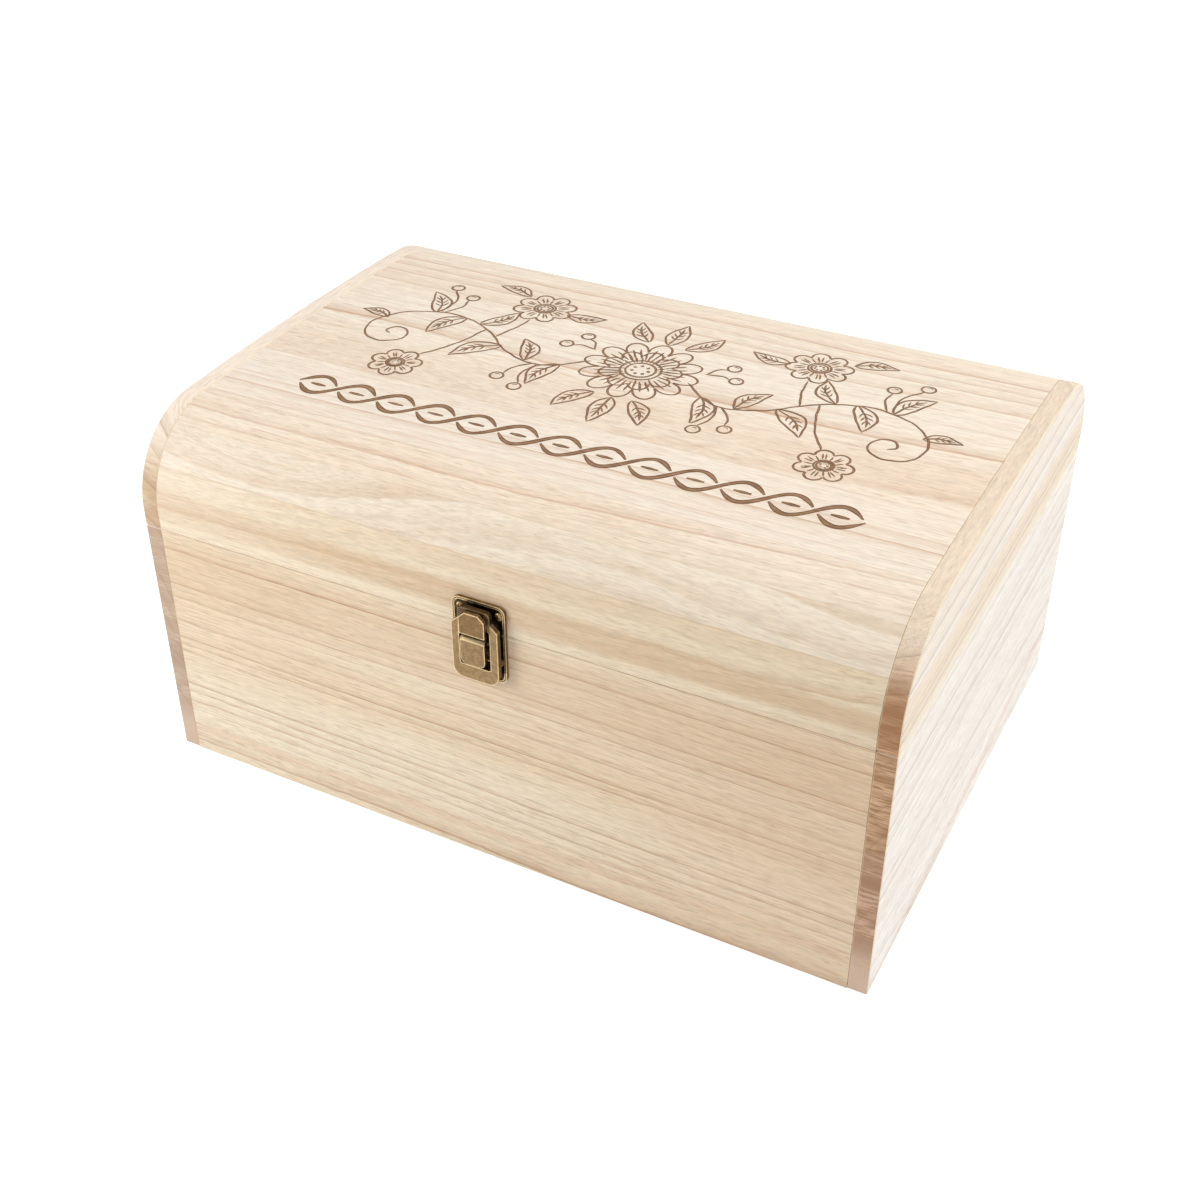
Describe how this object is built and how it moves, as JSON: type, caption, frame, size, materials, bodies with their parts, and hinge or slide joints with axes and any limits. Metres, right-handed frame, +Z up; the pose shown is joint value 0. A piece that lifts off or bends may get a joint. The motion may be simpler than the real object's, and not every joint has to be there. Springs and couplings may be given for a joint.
{
  "type": "keepsake box",
  "caption": "Pale timber chest whose hinged lid rounds over at front and back, closed by an over-centre toggle latch of antique brass.",
  "frame": {"origin": "centre of the footprint of the timber, on the underside", "axes": "+Z up, -Y to the front with the latch, +X to the right as seen from the front"},
  "size_m": [0.38, 0.286, 0.192],
  "materials": {
    "pale_timber": "bare sanded pale timber with fine straight grain",
    "end_timber": "bare sanded pale timber, grain from front to back, darker wavy end grain on its front edge",
    "floor_ply": "plain thin board",
    "antique_brass": "antique brass plating, dark in the hollows and rubbed bright on the edges",
    "dark_brass": "dark antique brass screws and pins"
  },
  "bodies": {
    "base": {"base_left_end": "end_timber", "base_right_end": "end_timber", "base_front_board": "pale_timber", "base_back_board": "pale_timber", "base_floor": "floor_ply", "left_hinge_base_leaf": "antique_brass", "right_hinge_base_leaf": "antique_brass", "left_hinge_pin": "dark_brass", "right_hinge_pin": "dark_brass", "hinge_base_screws": "dark_brass", "latch_base_plate": "antique_brass", "latch_base_screws": "dark_brass", "lever_pin": "dark_brass"},
    "lid": {"lid_left_end": "end_timber", "lid_right_end": "end_timber", "lid_front_board": "pale_timber", "lid_top_board": "pale_timber", "lid_back_board": "pale_timber", "left_hinge_lid_leaf": "antique_brass", "right_hinge_lid_leaf": "antique_brass", "hinge_lid_screws": "dark_brass", "latch_keeper": "antique_brass", "latch_keeper_screws": "dark_brass"},
    "latch_lever": {"latch_lever": "antique_brass", "ring_pin": "dark_brass"},
    "latch_ring": {"latch_ring": "antique_brass"}
  },
  "joints": [
    {"name": "lid_hinge", "type": "hinge", "parent": "base", "child": "lid", "pos_m": [0, 0.139, 0.13615], "axis": [-1, 0, 0], "range_deg": [0, 105]},
    {"name": "lever_pivot", "type": "hinge", "parent": "base", "child": "latch_lever", "pos_m": [-0.001, -0.1423, 0.13275], "axis": [-1, 0, 0], "range_deg": [0, 60]},
    {"name": "ring_pivot", "type": "hinge", "parent": "latch_lever", "child": "latch_ring", "pos_m": [-0.001, -0.14175, 0.12425], "axis": [-1, 0, 0], "range_deg": [-38.8, 0]}
  ],
  "couplings": [
    {"joint": "ring_pivot", "follows": "lever_pivot", "ratio": -0.645}
  ]
}
